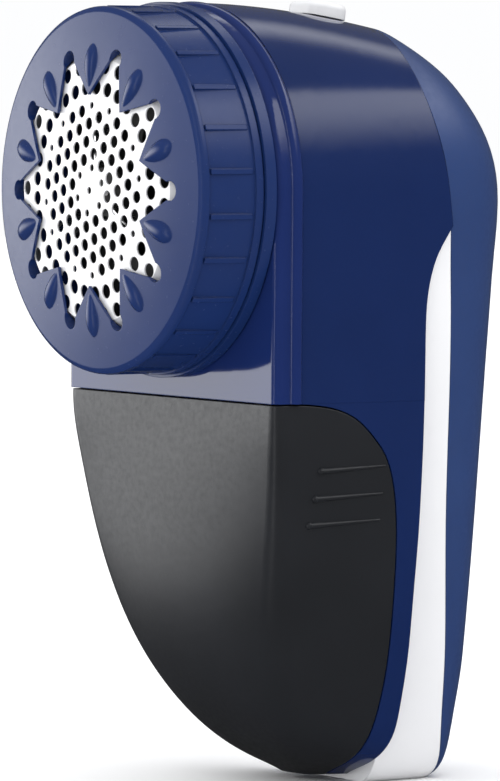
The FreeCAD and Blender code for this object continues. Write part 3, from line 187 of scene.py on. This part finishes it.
bezel_finish = moulded("bezel_navy", (0.0080, 0.0190, 0.094), (0.0090, 0.0210, 0.103), 0.07)

for name, obj in nodes.items():
    slot = obj.material_slots[0]
    slot_name = slot.material.name.split(".")[0]
    slot.material = bezel_finish if name == "front_bezel" else finish[slot_name]


# ------------------------------------------------------------------ stage, light and camera

def make_floor():
    """Pale floor that runs out of view on all sides."""
    row = FLOOR_CELLS + 1
    verts = [((i / FLOOR_CELLS - 0.5) * FLOOR_SIZE, (j / FLOOR_CELLS - 0.5) * FLOOR_SIZE, 0.0)
             for j in range(row) for i in range(row)]
    faces = [(j * row + i, j * row + i + 1, (j + 1) * row + i + 1, (j + 1) * row + i)
             for j in range(FLOOR_CELLS) for i in range(FLOOR_CELLS)]
    mesh = bpy.data.meshes.new("floor")
    mesh.from_pydata(verts, [], faces)
    floor = bpy.data.objects.new("floor", mesh)
    floor.location.z = -FLOOR_DROP
    bpy.context.scene.collection.objects.link(floor)
    mat, tree, bsdf = new_material("floor_paper")
    drift = noise(tree, FLOOR_NOISE, detail=3.0, rough=0.55)
    paper = two_tone(tree, drift, dark=(0.96, 0.96, 0.96), light=(0.97, 0.97, 0.97))
    tree.links.new(paper, bsdf.inputs["Base Color"])
    bsdf.inputs["Roughness"].default_value = 0.9
    bsdf.inputs["Specular IOR Level"].default_value = 0.1
    mesh.materials.append(mat)
    floor.visible_glossy = False


def make_world():
    """Even white studio for the eye and for matt surfaces; dark studio with soft panels for reflections."""
    world = bpy.data.worlds.new("studio")
    bpy.context.scene.world = world
    world.use_nodes = True
    tree = world.node_tree
    tree.nodes.clear()
    new, link = tree.nodes.new, tree.links.new
    direction = new("ShaderNodeTexCoord").outputs["Generated"]

    def calc(operation, *values):
        """Math node; each value is a number or another node's output."""
        node = new("ShaderNodeMath")
        node.operation = operation
        for i, value in enumerate(values):
            if isinstance(value, (int, float)):
                node.inputs[i].default_value = value
            else:
                link(value, node.inputs[i])
        return node.outputs[0]

    def along(axis):
        """How far the direction points along an axis, -1..1."""
        node = new("ShaderNodeVectorMath")
        node.operation = "DOT_PRODUCT"
        link(direction, node.inputs[0])
        node.inputs[1].default_value = Vector(axis).normalized()
        return node.outputs["Value"]

    def smooth(value, start, end):
        """Smooth rise from 0 at start to 1 at end."""
        node = new("ShaderNodeMapRange")
        node.interpolation_type = "SMOOTHSTEP"
        node.inputs["From Min"].default_value = start
        node.inputs["From Max"].default_value = end
        link(value, node.inputs["Value"])
        return node.outputs["Result"]

    def band(angle, half, low_soft, high_soft):
        """1 between -half and half, with edges that fade over the soft angles."""
        low_edge = smooth(angle, -half - low_soft, -half + low_soft)
        high_edge = smooth(calc("MULTIPLY", angle, -1.0), -half - high_soft, -half + high_soft)
        return calc("MULTIPLY", low_edge, high_edge)

    def panel(middle, across, half_width, half_height, side_soft, low_soft, high_soft, strength):
        """Soft panel around a direction."""
        ahead = Vector(middle).normalized()
        side = (Vector(across) - Vector(across).dot(ahead) * ahead).normalized()
        upward = ahead.cross(side)
        if upward.z < 0:
            upward = -upward
        front = along(ahead)
        wide = band(calc("ARCTAN2", along(side), front), half_width, side_soft, side_soft)
        high = band(calc("ARCTAN2", along(upward), front), half_height, low_soft, high_soft)
        inside = calc("MULTIPLY", calc("MULTIPLY", wide, high), calc("GREATER_THAN", front, 0.0))
        return calc("MULTIPLY", inside, strength)

    def sky(start, end, gain, base):
        """Even light that grows a little with height."""
        return calc("MULTIPLY_ADD", smooth(height, start, end), gain, base)

    def mix(choice, when_one, when_zero):
        return calc("ADD", calc("MULTIPLY", choice, when_one),
                    calc("MULTIPLY", calc("SUBTRACT", 1.0, choice), when_zero))

    height = along((0.0, 0.0, 1.0))
    glow = panel(**PANELS[0])
    for one in PANELS[1:]:
        glow = calc("ADD", glow, panel(**one))
    glow = calc("ADD", glow, sky(**DARK_STUDIO))
    path = new("ShaderNodeLightPath")
    eye = calc("MAXIMUM", path.outputs["Is Camera Ray"], path.outputs["Is Transmission Ray"])
    light = mix(path.outputs["Is Glossy Ray"], glow, sky(**WHITE_STUDIO))
    background = new("ShaderNodeBackground")
    background.inputs["Color"].default_value = STUDIO_COLOUR
    link(mix(eye, 1.0, light), background.inputs["Strength"])
    out = new("ShaderNodeOutputWorld")
    link(background.outputs["Background"], out.inputs["Surface"])
    if hasattr(world, "cycles"):
        world.cycles.sampling_method = "NONE"


def soft_light(name, at, to, size, power):
    """Area light that fills the shadows and isn't seen in reflections."""
    light = bpy.data.lights.new(name, "AREA")
    light.shape = "RECTANGLE"
    light.size, light.size_y = size
    light.energy = power
    obj = bpy.data.objects.new(name, light)
    obj.location = at
    obj.rotation_euler = (Vector(to) - Vector(at)).to_track_quat("-Z", "Y").to_euler()
    obj.visible_glossy = False
    bpy.context.scene.collection.objects.link(obj)


def make_camera():
    """Long lens at the object's front left, looking slightly down."""
    data = bpy.data.cameras.new("camera")
    camera = bpy.data.objects.new("camera", data)
    bpy.context.scene.collection.objects.link(camera)
    bpy.context.scene.camera = camera
    level = math.cos(CAMERA_ELEVATION)
    back = Vector((math.sin(CAMERA_AZIMUTH) * level, -math.cos(CAMERA_AZIMUTH) * level,
                   math.sin(CAMERA_ELEVATION)))
    right = Vector((math.cos(CAMERA_AZIMUTH), math.sin(CAMERA_AZIMUTH), 0.0))
    up = back.cross(right)
    rolled_right = right * math.cos(CAMERA_ROLL) + up * math.sin(CAMERA_ROLL)
    rolled_up = up * math.cos(CAMERA_ROLL) - right * math.sin(CAMERA_ROLL)
    turn = Matrix((rolled_right, rolled_up, back)).transposed().to_4x4()
    camera.matrix_world = Matrix.Translation(CAMERA_TARGET + back * CAMERA_DISTANCE) @ turn
    data.lens = CAMERA_LENS
    data.sensor_width = CAMERA_SENSOR
    data.clip_start = CLIP_START
    data.clip_end = CLIP_END


make_floor()
make_world()
soft_light("overhead_softbox", at=(0.5, -0.5, 1.3), to=(0, 0, 0.07), size=(1.0, 1.0), power=3.0)
soft_light("left_softbox", at=(-0.9, -0.9, 0.5), to=(0, 0, 0.08), size=(0.7, 0.9), power=2.0)
make_camera()
bpy.context.scene.view_settings.view_transform = "Standard"
